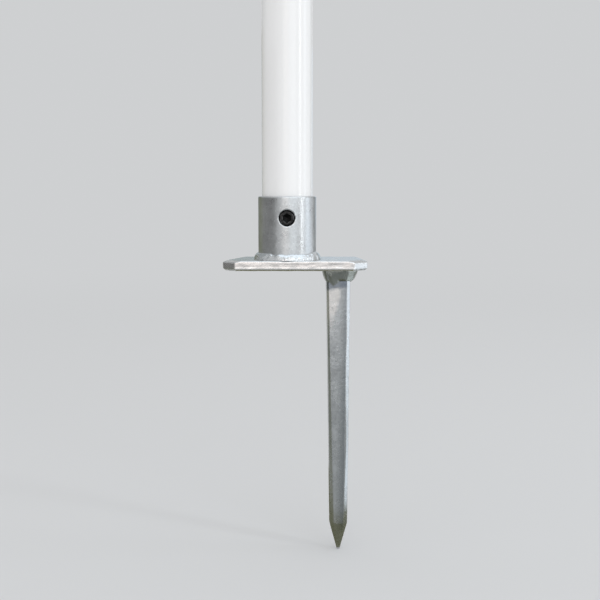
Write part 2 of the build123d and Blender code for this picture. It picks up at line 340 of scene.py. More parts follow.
class Shader:
    """A material's node tree, with a short method for each kind of node used here."""

    def __init__(self, name):
        self.material = bpy.data.materials.new(name)
        self.material.use_nodes = True
        self.tree = self.material.node_tree
        self.tree.nodes.clear()
        self.output = self.tree.nodes.new("ShaderNodeOutputMaterial")
        self.coordinates = self.tree.nodes.new("ShaderNodeTexCoord").outputs["Object"]

    def add(self, kind, inputs=None, **settings):
        node = self.tree.nodes.new(kind)
        for key, value in settings.items():
            setattr(node, key, value)
        for key, value in (inputs or {}).items():
            self.put(node.inputs[key], value)
        return node

    def put(self, socket, value):
        if isinstance(value, bpy.types.NodeSocket):
            self.tree.links.new(value, socket)
        else:
            socket.default_value = value

    def parts(self):
        """The object's X, Y and Z."""
        return tuple(self.add("ShaderNodeSeparateXYZ", {0: self.coordinates}).outputs)

    def stretched(self, x, y, z):
        """The object's coordinates, multiplied along each axis."""
        inputs = {"Vector": self.coordinates, "Scale": (x, y, z)}
        return self.add("ShaderNodeMapping", inputs).outputs["Vector"]

    def length(self, vector):
        node = self.add("ShaderNodeVectorMath", {0: vector}, operation="LENGTH")
        return node.outputs["Value"]

    def noise(self, size, detail=3.0, rough=0.5, vector=None):
        """Noise from 0 to 1 whose features are about this many metres across."""
        inputs = {"Vector": vector or self.coordinates, "Scale": 1 / size}
        inputs |= {"Detail": detail, "Roughness": rough}
        return self.add("ShaderNodeTexNoise", inputs).outputs["Fac"]

    def span(self, value, low, high, to_low=0.0, to_high=1.0):
        """Maps low..high to to_low..to_high and clamps it."""
        inputs = {"Value": value, "From Min": low, "From Max": high}
        inputs |= {"To Min": to_low, "To Max": to_high}
        return self.add("ShaderNodeMapRange", inputs).outputs["Result"]

    def fade(self, value, low, high):
        """1 up to low, and 0 from high on."""
        return self.span(value, low, high, 1.0, 0.0)

    def maths(self, operation, first, second):
        node = self.add("ShaderNodeMath", {0: first, 1: second}, operation=operation)
        return node.outputs["Value"]

    def times(self, first, *others):
        for other in others:
            first = self.maths("MULTIPLY", first, other)
        return first

    def strayed(self, value, size, detail, depth):
        """A coordinate to which noise adds up to this depth."""
        return self.maths("ADD", value, self.times(self.noise(size, detail), depth))

    def blend(self, share, first, second):
        """A mix of two colours, each of them a socket or three numbers."""
        node = self.add("ShaderNodeMix", data_type="RGBA")
        # The node has sockets for every data type; these are the share and the two colours
        for number, value in zip((0, 6, 7), (share, first, second)):
            if isinstance(value, tuple):
                value = (*value, 1.0)
            self.put(node.inputs[number], value)
        return node.outputs[2]

    def bump(self, height, distance, strength, normal=None):
        inputs = {"Height": height, "Distance": distance, "Strength": strength}
        if normal:
            inputs["Normal"] = normal
        return self.add("ShaderNodeBump", inputs).outputs["Normal"]

    def show(self, surface):
        """Puts this shader node on the surface."""
        self.tree.links.new(surface.outputs[0], self.output.inputs["Surface"])

    def finish(self, **inputs):
        """Ends the tree in a Principled shader with these inputs."""
        named = {key.replace("_", " "): value for key, value in inputs.items()}
        self.show(self.add("ShaderNodeBsdfPrincipled", named))
        return self.material


# Materials


def zinc_material(name, streaks=None, light=1.0, gloss=1.0, tint=(0.98, 1.0, 1.01), shading_paint=None):
    """Dull galvanised steel: a faint mottle, pits and bright specks in a satin metal."""
    shader = Shader(name)
    mottle = shader.noise(9 * MM, 4.0, 0.6)
    grain = shader.noise(1.6 * MM, 3.0, 0.6)
    pit = shader.noise(0.55 * MM, 2.0, 0.5)
    fleck = shader.noise(0.8 * MM, 2.0, 0.5, shader.stretched(1.3, 1.3, 0.8))
    dark, pale = (tuple(level * light * part for part in tint) for level in ZINC_LEVELS)
    tone = shader.blend(shader.span(mottle, 0.3, 0.7), dark, pale)
    tone = shader.blend(shader.span(grain, 0.52, 0.72, 0.0, 0.55), tone, GRAIN_TONE)
    tone = shader.blend(shader.span(pit, 0.60, 0.72, 0.0, 0.5), tone, PIT_TONE)
    flecks = shader.span(fleck, 0.64, 0.74, 0.0, 0.9 * min(light, 1))
    tone = shader.blend(flecks, tone, FLECK_TONE)
    smooth, dull = (level * gloss for level in ZINC_ROUGHNESS)
    rough = shader.span(mottle, 0.3, 0.7, smooth, dull)
    height = shader.maths("SUBTRACT", grain, shader.times(pit, 0.5))
    if streaks:
        lines = shader.noise(0.8 * MM, 3.0, 0.6, shader.stretched(*streaks))
        height = shader.maths("ADD", height, lines)
        tone = shader.blend(shader.span(lines, 0.45, 0.7, 0.0, 0.25), tone, STREAK_TONE)
    # Painted light and shade, for the pieces that are given them
    if shading_paint:
        tone = shading_paint(shader, tone)
    normal = shader.bump(height, 0.07 * MM, 0.55)
    return shader.finish(Base_Color=tone, Metallic=0.88, Roughness=rough, Normal=normal)


def bar_painted_light(shader, tone):
    """Painted light on the plate's sawn front: warmer light over it, and a painted highlight along its
    foot.
    """
    _, y, z = shader.parts()
    front = shader.times(shader.fade(y, *BAR_FRONT), shader.fade(z, *BAR_RIM))
    # Painted warm light over the front face
    tone = shader.blend(shader.times(front, BAR_WARM_LIGHT_SHARE), tone, BAR_WARM_LIGHT_TONE)
    # Painted highlight: a pale line along the foot of the front, with a wandering top edge
    height = shader.strayed(z, 6 * MM, 2.0, 0.8 * MM)
    low = shader.times(front, shader.fade(height, *BAR_LOW))
    return shader.blend(low, tone, BAR_HIGHLIGHT_TONE)


def spike_painted_light_and_shade(shader, tone):
    """Painted light and shade on the spike: darker along the right front edge, a pale patch of painted
    light on the front below the weld, and a band of painted shade just under the weld."""
    x, y, z = shader.parts()
    front = shader.fade(y, *SPIKE_FRONT)
    across = shader.strayed(x, 9 * MM, 3.0, 4.0 * MM)

    # Darker along the right front edge
    edge = shader.span(z, -SPIKE_SHOULDER, 0.0, *EDGE_X)
    left = shader.span(shader.maths("SUBTRACT", across, edge), *EDGE_DARK_LEFT)
    right = shader.fade(shader.maths("SUBTRACT", x, edge), *EDGE_DARK_RIGHT)
    edge_dark = shader.times(left, right, front, EDGE_DARK_SHARE)
    tone = shader.blend(edge_dark, tone, EDGE_DARK_TONE)

    # Painted light: a pale warm patch on the front, left of a slanting border
    border = shader.span(z, *BORDER_Z, *BORDER_X)
    inside = shader.fade(shader.maths("SUBTRACT", across, border), *LIT_PATCH_RIGHT)
    lit_patch = shader.times(inside, shader.span(z, *LIT_PATCH_FOOT), front, LIT_PATCH_SHARE)
    tone = shader.blend(lit_patch, tone, LIT_PATCH_TONE)

    # Painted shade: a dark band just under the weld, falling to the right
    slant = shader.times(shader.maths("SUBTRACT", x, SPIKE_CENTRE), WELD_SHADE_SLOPE)
    height = shader.strayed(shader.maths("ADD", z, slant), 3 * MM, 2.0, 2.4 * MM)
    weld_shade = shader.times(shader.span(height, *WELD_SHADE_FOOT), right, WELD_SHADE_SHARE)
    return shader.blend(weld_shade, tone, WELD_SHADE_TONE)


def black_steel_material():
    """Black oxide, worn bright round the mouth of the hexagon socket, with painted shade deep inside
    the socket.
    """
    shader = Shader("black_oxide")
    low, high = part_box("set_screw")
    tone = shader.blend(shader.span(shader.noise(1.5 * MM, 3.0), 0.35, 0.7), *SCREW_TONES)
    to_axis = {"Location": (0, 0, -(low.z + high.z) / 2), "Scale": (1, 0, 1)}
    centred = shader.add("ShaderNodeMapping", {"Vector": shader.coordinates, **to_axis})
    reach = shader.length(centred.outputs["Vector"])
    y = shader.parts()[1]
    worn = shader.times(
        shader.span(reach, *MOUTH_INNER),
        shader.fade(reach, *MOUTH_OUTER),
        shader.fade(y, low.y + 0.5 * MM, low.y + 0.8 * MM),
        shader.span(shader.noise(0.9 * MM), 0.3, 0.65, 0.4, 1.0),
    )
    tone = shader.blend(worn, tone, MOUTH_TONE)
    patch = shader.span(shader.noise(1.4 * MM), 0.48, 0.62)
    tone = shader.blend(shader.times(shader.span(reach, *RIM_INNER), patch), tone, RIM_TONE)
    # Painted shade deep inside the hexagon socket
    tone = shader.blend(shader.span(y, low.y + 1.0 * MM, low.y + 1.6 * MM), tone, SOCKET_SHADE_TONE)
    normal = shader.bump(shader.noise(0.5 * MM), 0.05 * MM, 0.5)
    return shader.finish(Base_Color=tone, Metallic=0.75, Roughness=0.3, Normal=normal)


def pole_material():
    """Glossy white extruded plastic, with faint lengthwise die lines and a little haze."""
    shader = Shader("white_pole")
    haze = shader.noise(40 * MM, 2.0, 0.5, shader.stretched(1, 1, 0.15))
    tone = shader.blend(haze, (0.84, 0.835, 0.83), (0.87, 0.87, 0.872))
    rough = shader.span(haze, 0.3, 0.7, 0.16, 0.24)
    lines = shader.noise(1.6 * MM, 2.0, 0.5, shader.stretched(1, 1, 0.004))
    normal = shader.bump(lines, 0.03 * MM, 0.35)
    return shader.finish(Base_Color=tone, Roughness=rough, Normal=normal, Coat_Weight=0.3)


def cap_material():
    """Satin moulded plastic."""
    shader = Shader("white_cap")
    tone = shader.blend(shader.noise(9 * MM), (0.80, 0.80, 0.79), (0.85, 0.85, 0.84))
    normal = shader.bump(shader.noise(0.5 * MM), 0.02 * MM, 0.6)
    return shader.finish(Base_Color=tone, Roughness=0.38, Normal=normal)


def cloth_material(name, depth=1.0):
    """Plain woven polyester: fine threads along and up the flag, and slightly uneven dye."""
    shader = Shader(name)
    threads = {"Vector": shader.coordinates, "Scale": THREADS, "Distortion": 0.4, "Detail": 1.0}
    warp, weft = (
        shader.add("ShaderNodeTexWave", threads, bands_direction=axis).outputs["Fac"]
        for axis in "XZ"
    )
    weave = shader.times(warp, weft)
    dye = shader.noise(50 * MM, 3.0)
    deep = (0.80 * depth, 0.50 * depth**1.6, 0.012)
    pale = (0.88 * depth, 0.60 * depth**1.6, 0.022)
    tone = shader.blend(shader.span(dye, 0.3, 0.7), deep, pale)
    tone = shader.blend(shader.span(weave, 0.0, 0.7, 0.22, 0.0), tone, (0.45, 0.25, 0.006))
    normal = shader.bump(weave, 0.12 * MM, 0.5)
    normal = shader.bump(shader.noise(7 * MM, 3.0), 0.25 * MM, 0.5, normal)
    return shader.finish(
        Base_Color=tone, Roughness=0.72, Sheen_Weight=0.2, Sheen_Roughness=0.4, Normal=normal
    )


def thread_material():
    shader = Shader("sewing_thread")
    tone = shader.blend(shader.noise(0.4 * MM), (0.86, 0.66, 0.16), (0.95, 0.80, 0.30))
    return shader.finish(Base_Color=tone, Roughness=0.5, Sheen_Weight=0.3)


# Pieces


def give(piece, material):
    """Puts a piece on the one body, with its finish."""
    piece.data.materials.clear()
    piece.data.materials.append(material)
    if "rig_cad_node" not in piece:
        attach(piece, "root")


def welded_copy(node, name):
    """A copy of a CAD piece's surface whose split vertices are joined."""
    mesh = frame["nodes"][node].data.copy()
    with edited(mesh) as shape:
        bmesh.ops.remove_doubles(shape, verts=shape.verts, dist=SKIN_JOIN)
    return link(name, mesh)


def skin(node, name, smoothing, rough_out):
    """A fine skin over a CAD piece with the soft edges and waves of dipped zinc."""
    piece = welded_copy(node, name)
    remesh = piece.modifiers.new("remesh", "REMESH")
    remesh.mode = "VOXEL"
    remesh.voxel_size = SKIN_VOXEL
    remesh.use_smooth_shade = True
    smooth = piece.modifiers.new("smooth", "SMOOTH")
    smooth.factor = 0.5
    smooth.iterations = smoothing
    apply_modifiers(piece)
    normals = [v.normal.copy() for v in piece.data.vertices]
    for vertex, normal in zip(piece.data.vertices, normals):
        vertex.co += normal * rough_out(vertex.co, normal)
    shade_smooth(piece)
    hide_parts(node)
    return piece


def waves(point, size, depth, seed):
    """Smooth noise in metres: features of this size, this deep."""
    return depth * noise.noise(point / size + Vector((seed, 2 * seed, 3 * seed)))


def zinc_waves(point, normal):
    return waves(point, 8 * MM, 0.035 * MM, 1.3) + waves(point, 2.0 * MM, 0.018 * MM, 4.1)


def bar_waves(point, normal):
    """The rolled bar's edge is drawn out along X and barely grooved, and its ends are rounded."""
    drawn = Vector((point.x / 6, point.y, point.z))
    lumps = waves(point, 5 * MM, 0.09 * MM, 2.2)
    groove = GROOVE_DEPTH * math.cos(2 * math.pi * (point.z - GROOVE_CREST) / GROOVE_PITCH)
    rounding = BAR_ROUNDING * min(1.0, 1.4 * abs(normal.x)) * (point.z - BAR_MIDDLE) ** 2
    lines = waves(drawn, 1.4 * MM, 0.04 * MM, 7.7)
    return zinc_waves(point, normal) + lumps + groove - rounding + lines


def spike_waves(point, normal):
    """Forging and dipping leave long shallow hollows down the spike."""
    drawn = Vector((point.x, point.y, point.z / 3))
    return zinc_waves(point, normal) + waves(drawn, 8 * MM, 0.07 * MM, 3.4)


def sharpen_spike(piece):
    """Draws the spike's right front edge out, so that its cut is as narrow as the bar's corner."""
    turn = Matrix.Rotation(math.radians(-SPIKE_TURN), 3, "Z")
    for vertex in piece.data.vertices:
        depth = -vertex.co.z
        half = SPIKE_HALF - SPIKE_TAPER * depth / SPIKE_SHOULDER
        middle = SPIKE_CENTRE + SPIKE_LEAN * depth / SPIKE_LENGTH
        place = turn @ Vector((vertex.co.x - middle, vertex.co.y, 0))
        across, ahead = place.x, -place.y
        inside = 2 * half - SPIKE_CUT - across - ahead
        share = clamp(1 - max(inside, 0.0) / DRAWN_REACH) * clamp((SPIKE_SHOULDER - depth) / DRAWN_END)
        along = clamp((across - ahead + SPIKE_CUT) / (2 * SPIKE_CUT))
        uneven = waves(Vector((0, 0, vertex.co.z)), 26 * MM, 0.9 * MM, 5.2)
        shift = share * (SPIKE_NARROWING + uneven)
        vertex.co += turn.transposed() @ Vector((shift * (1 - along), -shift * along, 0))


def keyed(keys, angle):
    """The values at this angle, eased between the keys on either side of it."""
    again = (keys[0][0] + 360, *keys[0][1:])
    for low, high in zip(keys, [*keys[1:], again]):
        if low[0] <= angle <= high[0]:
            t = (angle - low[0]) / (high[0] - low[0])
            t = t * t * (3 - 2 * t)
            return [a + (b - a) * t for a, b in zip(low[1:], high[1:])]


def spike_edge(angle):
    """The distance from the spike's middle to its side, at an angle from the front."""
    turned = angle - math.radians(SPIKE_TURN)
    s, c = math.sin(turned), math.cos(turned)
    cut = SPIKE_NARROW_CUT if s < 0 and c > 0 else SPIKE_CUT
    return min(SPIKE_HALF / max(abs(s), abs(c)), (2 * SPIKE_HALF - cut) / (abs(s) + abs(c)))


def bead_rows(centre, rise, wall_at, keys, seed):
    """The bead's section at each turn round the post: its face, then its root in the steel."""
    rows = []
    up = Vector((0, 0, rise))
    for i in range(BEAD_TURNS):
        angle = -180 + 360 * i / BEAD_TURNS
        leg, height, fall, lift = keyed(keys, angle)
        turn = math.radians(angle)
        out = Vector((math.sin(turn), -math.cos(turn), 0))
        wall = wall_at(turn)
        toe = centre + out * (wall + leg * MM)
        leg = leg * MM + waves(toe, 3.5 * MM, 0.22 * MM, seed)
        height = height * MM + waves(toe, 2.6 * MM, 0.20 * MM, seed + 1)
        row = []
        for j in range(BEAD_STEPS + 1):
            t = math.pi / 2 * j / BEAD_STEPS
            r = wall + BEAD_STEP + (leg - BEAD_STEP) * math.sin(t) ** fall
            row.append(centre + out * r + up * height * max(math.cos(t), 0) ** lift)
        row.append(centre + out * (wall + leg - BEAD_ROOT) - up * BEAD_ROOT)
        row.append(centre + out * (wall - BEAD_ROOT) - up * BEAD_ROOT)
        row.append(centre + out * (wall - BEAD_ROOT) + up * (height - 2 * BEAD_ROOT))
        rows.append(row)
    return [*rows, rows[0]]


def bead_relief(place, centre, seed):
    """How far the bead's face stands out here: soft lumps, and patches of fine ripples."""
    around = math.atan2(place.x - centre.x, centre.y - place.y)
    reach = math.hypot(place.x - centre.x, place.y - centre.y)
    patch = 0.5 + noise.noise(place / (5 * MM) + Vector((seed, 0, 0)))
    ripple = math.sin(around * reach / RIPPLE_PITCH + place.z / (0.9 * MM)) * max(patch, 0)
    lumps = waves(place, 2.4 * MM, 0.16 * MM, seed + 2) + waves(place, 1.0 * MM, 0.05 * MM, seed + 3)
    return lumps + RIPPLE_DEPTH * ripple


def bead(name, node, centre, rise, wall_at, keys, seed):
    """A weld bead round a post, whose face bulges from the post to its toe on the plate."""
    piece = link(name, grid_mesh(name, bead_rows(centre, rise, wall_at, keys, seed), closed=True))
    with edited(piece.data) as shape:
        bmesh.ops.remove_doubles(shape, verts=shape.verts, dist=BEAD_JOIN)
        bmesh.ops.recalc_face_normals(shape, faces=shape.faces)
        shape.normal_update()
        moves = [vertex.normal * bead_relief(vertex.co, centre, seed) for vertex in shape.verts]
        for vertex, move in zip(shape.verts, moves):
            vertex.co += move
    shade_smooth(piece)
    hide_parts(node)
    return piece


def weld_pieces(bright, dull):
    """The two weld beads, on top of the plate and under it."""
    low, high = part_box("pole_socket")
    radius = (high.x - low.x) / 2
    top = Vector((0, 0, low.z))
    upper = bead("socket_weld_bead", "socket_weld", top, 1, lambda turn: radius, SOCKET_BEAD, 2.9)
    give(upper, bright)
    under = Vector((SPIKE_CENTRE, 0, 0))
    lower = bead("spike_weld_bead", "spike_weld", under, -1, spike_edge, SPIKE_BEAD, 6.3)
    # The bead under the plate takes the zinc darkened as painted shade
    give(lower, dull)


def steel_pieces():
    plain = zinc_material("zinc", light=0.97, gloss=1.2)
    bar = zinc_material(
        "zinc_bar", streaks=(0.12, 1.0, 1.0), light=1.1, tint=(1.0, 0.99, 0.98), shading_paint=bar_painted_light
    )
    long = zinc_material("zinc_spike", streaks=(1.0, 1.0, 0.2), light=0.98, shading_paint=spike_painted_light_and_shade)
    give(skin("foot_plate", "foot_plate_zinc", 4, bar_waves), bar)
    give(skin("pole_socket", "pole_socket_zinc", 2, zinc_waves), plain)
    spike = skin("ground_spike", "ground_spike_zinc", 3, spike_waves)
    sharpen_spike(spike)
    give(spike, long)
    bright = zinc_material("zinc_weld", light=1.1, gloss=0.9)
    # The bead under the plate gets zinc darkened as painted shade, and tinted olive as a painted
    # reflection
    weld_pieces(bright, zinc_material("zinc_under_painted_shade", light=0.61, tint=(0.97, 1.0, 0.90)))


def hexagon(angle):
    """The distance from the screw's axis to the side of its hexagon socket."""
    return SCREW_HEX / 2 / math.cos((angle + math.pi / 6) % (math.pi / 3) - math.pi / 6)


def screw_stations(length, edge):
    """The screw's rings from the floor of its hexagon socket out over the face and down the thread
    to its cup point: the depth below the face, and the radius or the kind of ring."""
    mouth = 0.08 * MM
    stations = [(SCREW_HEX_DEPTH + 1.0 * MM, PINHOLE), (SCREW_HEX_DEPTH, "hexagon")]
    stations += [(SCREW_HEX_DEPTH * 0.5, "hexagon"), (0.5 * MM, "hexagon"), (mouth, "mouth")]
    stations += [(0.0, SCREW_MOUTH + mouth), (0.0, (edge + SCREW_MOUTH) / 2)]
    stations += [(0.0, edge - 0.1 * MM), (0.03 * MM, edge)]
    for k in range(SCREW_RINGS + 1):
        depth = SCREW_CHAMFER * 0.6 + (length - 1.4 * SCREW_CHAMFER) * k / SCREW_RINGS
        stations.append((depth, "thread"))
    stations += [(length - 0.05 * MM, edge), (length, edge - 0.15 * MM), (length, edge - 0.5 * MM)]
    return stations + [(length - 1.1 * MM, 0.8 * MM), (length - 1.2 * MM, PINHOLE)]


def screw_piece():
    """The set screw: a threaded body with a hexagon socket in its face and a cup point."""
    low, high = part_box("set_screw")
    radius = (high.x - low.x) / 2
    length = high.y - low.y
    middle = Vector(((low.x + high.x) / 2, low.y, (low.z + high.z) / 2))
    edge = radius - SCREW_CHAMFER
    rows = []
    for depth, size in screw_stations(length, edge):
        row = []
        for k in range(SCREW_SIDES):
            angle = 2 * math.pi * k / SCREW_SIDES
            if size == "hexagon":
                r = hexagon(angle)
            elif size == "mouth":
                r = max(hexagon(angle) + 0.1 * MM, SCREW_MOUTH)
            elif size == "thread":
                turn = 2 * math.pi * depth / SCREW_PITCH - angle
                crest = min(depth, length - depth) + edge
                r = min(radius - SCREW_THREAD * (0.5 - 0.5 * math.cos(turn)) ** 1.5, crest)
            else:
                r = size
            row.append(middle + Vector((r * math.cos(angle), depth, r * math.sin(angle))))
        rows.append(row)
    piece = link("set_screw_threaded", grid_mesh("set_screw_threaded", rows, closed=True))
    close_ends(piece)
    shade_smooth(piece)
    piece.data.set_sharp_from_angle(angle=math.radians(40))
    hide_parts("set_screw")
    give(piece, black_steel_material())


def close_ends(piece):
    """Fills the open rings at the two ends of a turned mesh."""
    with edited(piece.data) as shape:
        bmesh.ops.holes_fill(shape, edges=[e for e in shape.edges if e.is_boundary], sides=0)
        bmesh.ops.recalc_face_normals(shape, faces=shape.faces)


def pole_piece():
    give(frame["nodes"]["pole"], pole_material())


def mesh_of(name, points, faces):
    mesh = bpy.data.meshes.new(name)
    mesh.from_pydata(points, [], faces)
    mesh.update()
    return mesh


def grid_mesh(name, rows, closed=False):
    """A mesh through rows of equally many points; a closed one joins each row's ends."""
    count = len(rows[0])
    points = [point for row in rows for point in row]
    faces = []
    for i in range(len(rows) - 1):
        for j in range(count if closed else count - 1):
            k = (j + 1) % count
            faces.append((i * count + j, i * count + k, (i + 1) * count + k, (i + 1) * count + j))
    return mesh_of(name, points, faces)


def surface_normals(rows):
    """The normal at each point of the surface through these rows."""
    surface = grid_mesh("surface", rows)
    normals = [v.normal.copy() for v in surface.vertices]
    bpy.data.meshes.remove(surface)
    return normals


def between(points, place):
    """The point at this place along a row of points, on a smooth curve through them."""
    last = len(points) - 1
    i = min(int(place), last - 1)
    t = place - i
    a, b = points[max(i - 1, 0)], points[i]
    c, d = points[i + 1], points[min(i + 2, last)]
    bend, twist = 2 * a - 5 * b + 4 * c - d, 3 * b - a - 3 * c + d
    return 0.5 * (2 * b + (c - a) * t + bend * t**2 + twist * t**3)


def finer(rows, times):
    """Rows of points, refined this many times along and across."""
    along = [
        [between(row, k / times) for k in range((len(row) - 1) * times + 1)] for row in rows
    ]
    columns = list(zip(*along))
    across = [
        [between(column, k / times) for k in range((len(rows) - 1) * times + 1)]
        for column in columns
    ]
    return [list(row) for row in zip(*across)]


def to_edge(along, drop):
    """How far a point of the panel is from the panel's nearest edge."""
    return min(PANEL_WIDTH - along, drop, PANEL_HEIGHT - drop, along)


def hemmed(edge):
    """1 on the hem, fading to 0 just inside it."""
    return clamp(1 - (edge - HEM) / HEM_FADE)


def wrinkle(along, drop):
    """How far the panel stands out here in wrinkles too small for the simulation."""
    # Tension lines run from the hoist's top towards the fly's foot
    pull, side = along + 0.55 * drop, drop - 0.55 * along
    drawn = Vector((pull / 5, side, 0))
    out = waves(drawn, 26 * MM, 2.6 * MM, 9.3) + waves(drawn, 10 * MM, 0.6 * MM, 12.7)
    # The stitched edges pucker
    near = clamp(1 - to_edge(along, drop) / PUCKER_REACH)
    out += near * waves(Vector((along, drop, 0)), 11 * MM, 1.5 * MM, 15.9)
    # The cloth is gathered at the hoist's seam, which holds it
    gathered = clamp(1 - along / GATHER_REACH)
    out += gathered * waves(Vector((along / 4, drop, 0)), 13 * MM, 2.2 * MM, 18.2)
    return out * clamp(along / HELD_REACH)


def wrinkled(rows):
    """The panel with the small wrinkles that a simulation this coarse leaves out."""
    normals = surface_normals(rows)
    across, down = len(rows) - 1, len(rows[0]) - 1
    done = []
    for i, row in enumerate(rows):
        line = []
        for j, point in enumerate(row):
            out = wrinkle(PANEL_WIDTH * i / across, PANEL_HEIGHT * j / down)
            line.append(point + normals[i * (down + 1) + j] * out)
        done.append(line)
    return done


def draped_panel():
    """The flag's panel after a light wind has lifted it: columns of points from hoist to fly."""
    across = round(PANEL_WIDTH / PANEL_STEP)
    down = round(PANEL_HEIGHT / PANEL_STEP)
    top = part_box("flag_sleeve")[1].z
    rows = []
    for i in range(across + 1):
        s = i / across
        swing = START_SWING * min(1, 2 * s) * math.sin(2 * math.pi * START_WAVES * s)
        x = SEAM_REACH + START_LENGTH * PANEL_WIDTH * s
        rows.append([(x, swing, top - PANEL_HEIGHT * j / down) for j in range(down + 1)])
    panel = link("flag_panel", grid_mesh("flag_panel", rows))
    settle(panel, down + 1)
    points = [v.co.copy() for v in panel.data.vertices]
    return panel, [points[i * (down + 1) : (i + 1) * (down + 1)] for i in range(across + 1)]


def settle(panel, hoist_count):
    """Lets the panel hang from its hoist in a steady wind, and keeps the result."""
    hoist = panel.vertex_groups.new(name="hoist")
    hoist.add(list(range(hoist_count)), 1.0, "REPLACE")
    cloth = panel.modifiers.new("cloth", "CLOTH")
    cloth.settings.vertex_group_mass = "hoist"
    cloth.settings.quality = 5
    cloth.settings.mass = 0.0045
    cloth.settings.air_damping = 1.0
    cloth.settings.tension_stiffness = 25
    cloth.settings.compression_stiffness = 25
    cloth.settings.shear_stiffness = 8
    cloth.settings.bending_stiffness = 0.25
    cloth.collision_settings.use_self_collision = False
    cloth.point_cache.frame_start = 1
    cloth.point_cache.frame_end = SETTLE_FRAMES
    wind = link("wind", None)
    wind.rotation_euler = (0, math.radians(90), math.radians(WIND_TURN))
    bpy.context.view_layer.objects.active = wind
    wind.select_set(True)
    bpy.ops.object.forcefield_toggle()
    wind.field.type = "WIND"
    wind.field.strength = WIND
    wind.field.noise = 0
    wind.field.flow = 1.0
    for number in range(1, SETTLE_FRAMES + 1):
        bpy.context.scene.frame_set(number)
    apply_modifiers(panel)
    bpy.data.objects.remove(wind)
    bpy.context.scene.frame_set(1)


def thick_sheet(name, rows, thickness):
    """A cloth of this thickness at each point, from rows on its middle surface."""
    count = len(rows[0])
    flat = [point for row in rows for point in row]
    total = len(flat)
    normals = surface_normals(rows)
    points = []
    for side in (0.5, -0.5):
        points += [p + n * side * thick for p, n, thick in zip(flat, normals, thickness)]
    faces = []
    for i in range(len(rows) - 1):
        for j in range(count - 1):
            quad = (i * count + j, i * count + j + 1, (i + 1) * count + j + 1, (i + 1) * count + j)
            faces.append(quad)
            faces.append(tuple(total + v for v in reversed(quad)))
    first, last = range(count), range(total - count, total)
    left, right = range(0, total, count), range(count - 1, total, count)
    for rim, forward in ((first, False), (last, True), (left, True), (right, False)):
        for a, b in zip(rim, rim[1:]):
            quad = (a, b, total + b, total + a)
            faces.append(quad if forward else tuple(reversed(quad)))
    mesh = mesh_of(name, points, faces)
    with edited(mesh) as shape:
        bmesh.ops.recalc_face_normals(shape, faces=shape.faces)
    return mesh


def stitch_row(parts, path, normals, lift):
    """Adds a row of stitches along a path, on both faces of the cloth."""
    lengths = [0.0]
    for a, b in zip(path, path[1:]):
        lengths.append(lengths[-1] + (b - a).length)

    def at(distance):
        i = 0
        while i < len(lengths) - 2 and lengths[i + 1] < distance:
            i += 1
        t = (distance - lengths[i]) / (lengths[i + 1] - lengths[i])
        return path[i].lerp(path[i + 1], t), normals[i].lerp(normals[i + 1], t).normalized()

    heights = (lift - STITCH_SINK, lift + STITCH_RISE, lift - STITCH_SINK)
    start = 0.5 * STITCH_GAP
    while start + STITCH < lengths[-1]:
        ends = [at(start), at(start + STITCH / 2), at(start + STITCH)]
        for side in (1, -1):
            spine = [p + side * n * h for (p, n), h in zip(ends, heights)]
            parts.append((spine, ends[1][1] * side))
        start += STITCH + STITCH_GAP


def stitches_mesh(name, parts):
    """One mesh of short bowed threads."""
    sides = STITCH_SIDES
    points, faces = [], []
    for spine, normal in parts:
        along = (spine[2] - spine[0]).normalized()
        across = along.cross(normal).normalized()
        base = len(points)
        for station, share in STITCH_PROFILE:
            if station <= 0.5:
                centre = spine[0].lerp(spine[1], station * 2)
            else:
                centre = spine[1].lerp(spine[2], station * 2 - 1)
            for k in range(sides):
                angle = 2 * math.pi * k / sides
                offset = across * math.cos(angle) + normal * math.sin(angle)
                points.append(tuple(centre + offset * STITCH_RADIUS * share))
        rings = len(STITCH_PROFILE) - 1
        for ring in range(rings):
            for k in range(sides):
                a = base + ring * sides + k
                b = base + ring * sides + (k + 1) % sides
                faces.append((a, b, b + sides, a + sides))
        faces.append(tuple(base + k for k in reversed(range(sides))))
        faces.append(tuple(base + rings * sides + k for k in range(sides)))
    return mesh_of(name, points, faces)


def panel_piece(panel, rows, cloth, doubled):
    """Gives the panel its thickness, which doubles at the hems, and its two materials."""
    across, down = len(rows) - 1, len(rows[0]) - 1
    thickness = []
    for i, row in enumerate(rows):
        for j, point in enumerate(row):
            hem = hemmed(to_edge(PANEL_WIDTH * i / across, PANEL_HEIGHT * j / down))
            pucker = waves(point, 5 * MM, 0.35 * MM, 3.3) if hem else 0.0
            thickness.append(CLOTH + HEM_EXTRA * hem + max(pucker, 0.0))
    panel.data = thick_sheet("flag_panel", rows, thickness)
    shade_smooth(panel)
    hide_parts("flag")
    give(panel, cloth)
    panel.data.materials.append(doubled)
    limit = CLOTH + 0.6 * HEM_EXTRA
    for face in panel.data.polygons:
        if all(thickness[v % len(thickness)] > limit for v in face.vertices):
            face.material_index = 1


def stitches_piece(rows):
    """The rows of stitches along the panel's hems and its seam to the sleeve."""
    across, down = len(rows) - 1, len(rows[0]) - 1
    flat_normals = surface_normals(rows)
    normals = [flat_normals[i * (down + 1) : (i + 1) * (down + 1)] for i in range(across + 1)]
    inset_i = round((HEM - STITCH_INSET) * across / PANEL_WIDTH)
    inset_j = round((HEM - STITCH_INSET) * down / PANEL_HEIGHT)
    lift = (CLOTH + HEM_EXTRA) / 2
    parts = []
    for j in (inset_j, down - inset_j):
        stitch_row(parts, [row[j] for row in rows], [row[j] for row in normals], lift)
    for i in (across - inset_i, 1, inset_i):
        stitch_row(parts, rows[i], normals[i], lift)
    stitches = link("flag_stitches", stitches_mesh("flag_stitches", parts))
    shade_smooth(stitches)
    give(stitches, thread_material())
    return stitches


